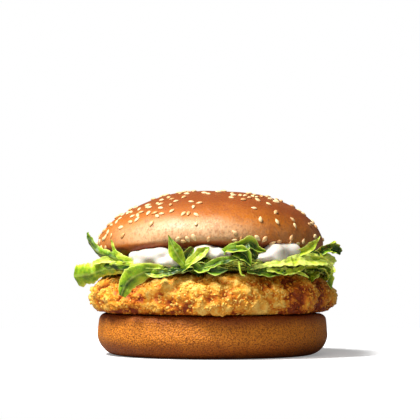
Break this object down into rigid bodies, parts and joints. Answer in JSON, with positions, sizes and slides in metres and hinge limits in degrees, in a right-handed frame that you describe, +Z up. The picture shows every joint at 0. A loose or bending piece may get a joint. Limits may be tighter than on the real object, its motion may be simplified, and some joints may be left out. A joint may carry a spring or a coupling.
{
  "type": "chicken burger",
  "caption": "Chicken burger: sesame bun, thick breaded chicken patty, shredded lettuce and mayonnaise, stacked on its flat base.",
  "frame": {"origin": "the middle of the heel's flat base", "axes": "+Z up through the stack; -Y is the front, where the filling is thickest; +X to the right of a viewer who faces the front"},
  "size_m": [0.1155, 0.1093, 0.071],
  "materials": {
    "heel_crust": "satin",
    "fried_breading": "rough",
    "lettuce_leaf": "satin",
    "mayonnaise": "gloss",
    "crown_crust": "satin",
    "sesame_seed": "satin",
    "bread_crumb": "matt"
  },
  "bodies": {
    "root": {"heel": "heel_crust", "patty": "fried_breading", "lettuce": "lettuce_leaf", "mayonnaise": "mayonnaise", "crown": "crown_crust"}
  },
  "joints": []
}
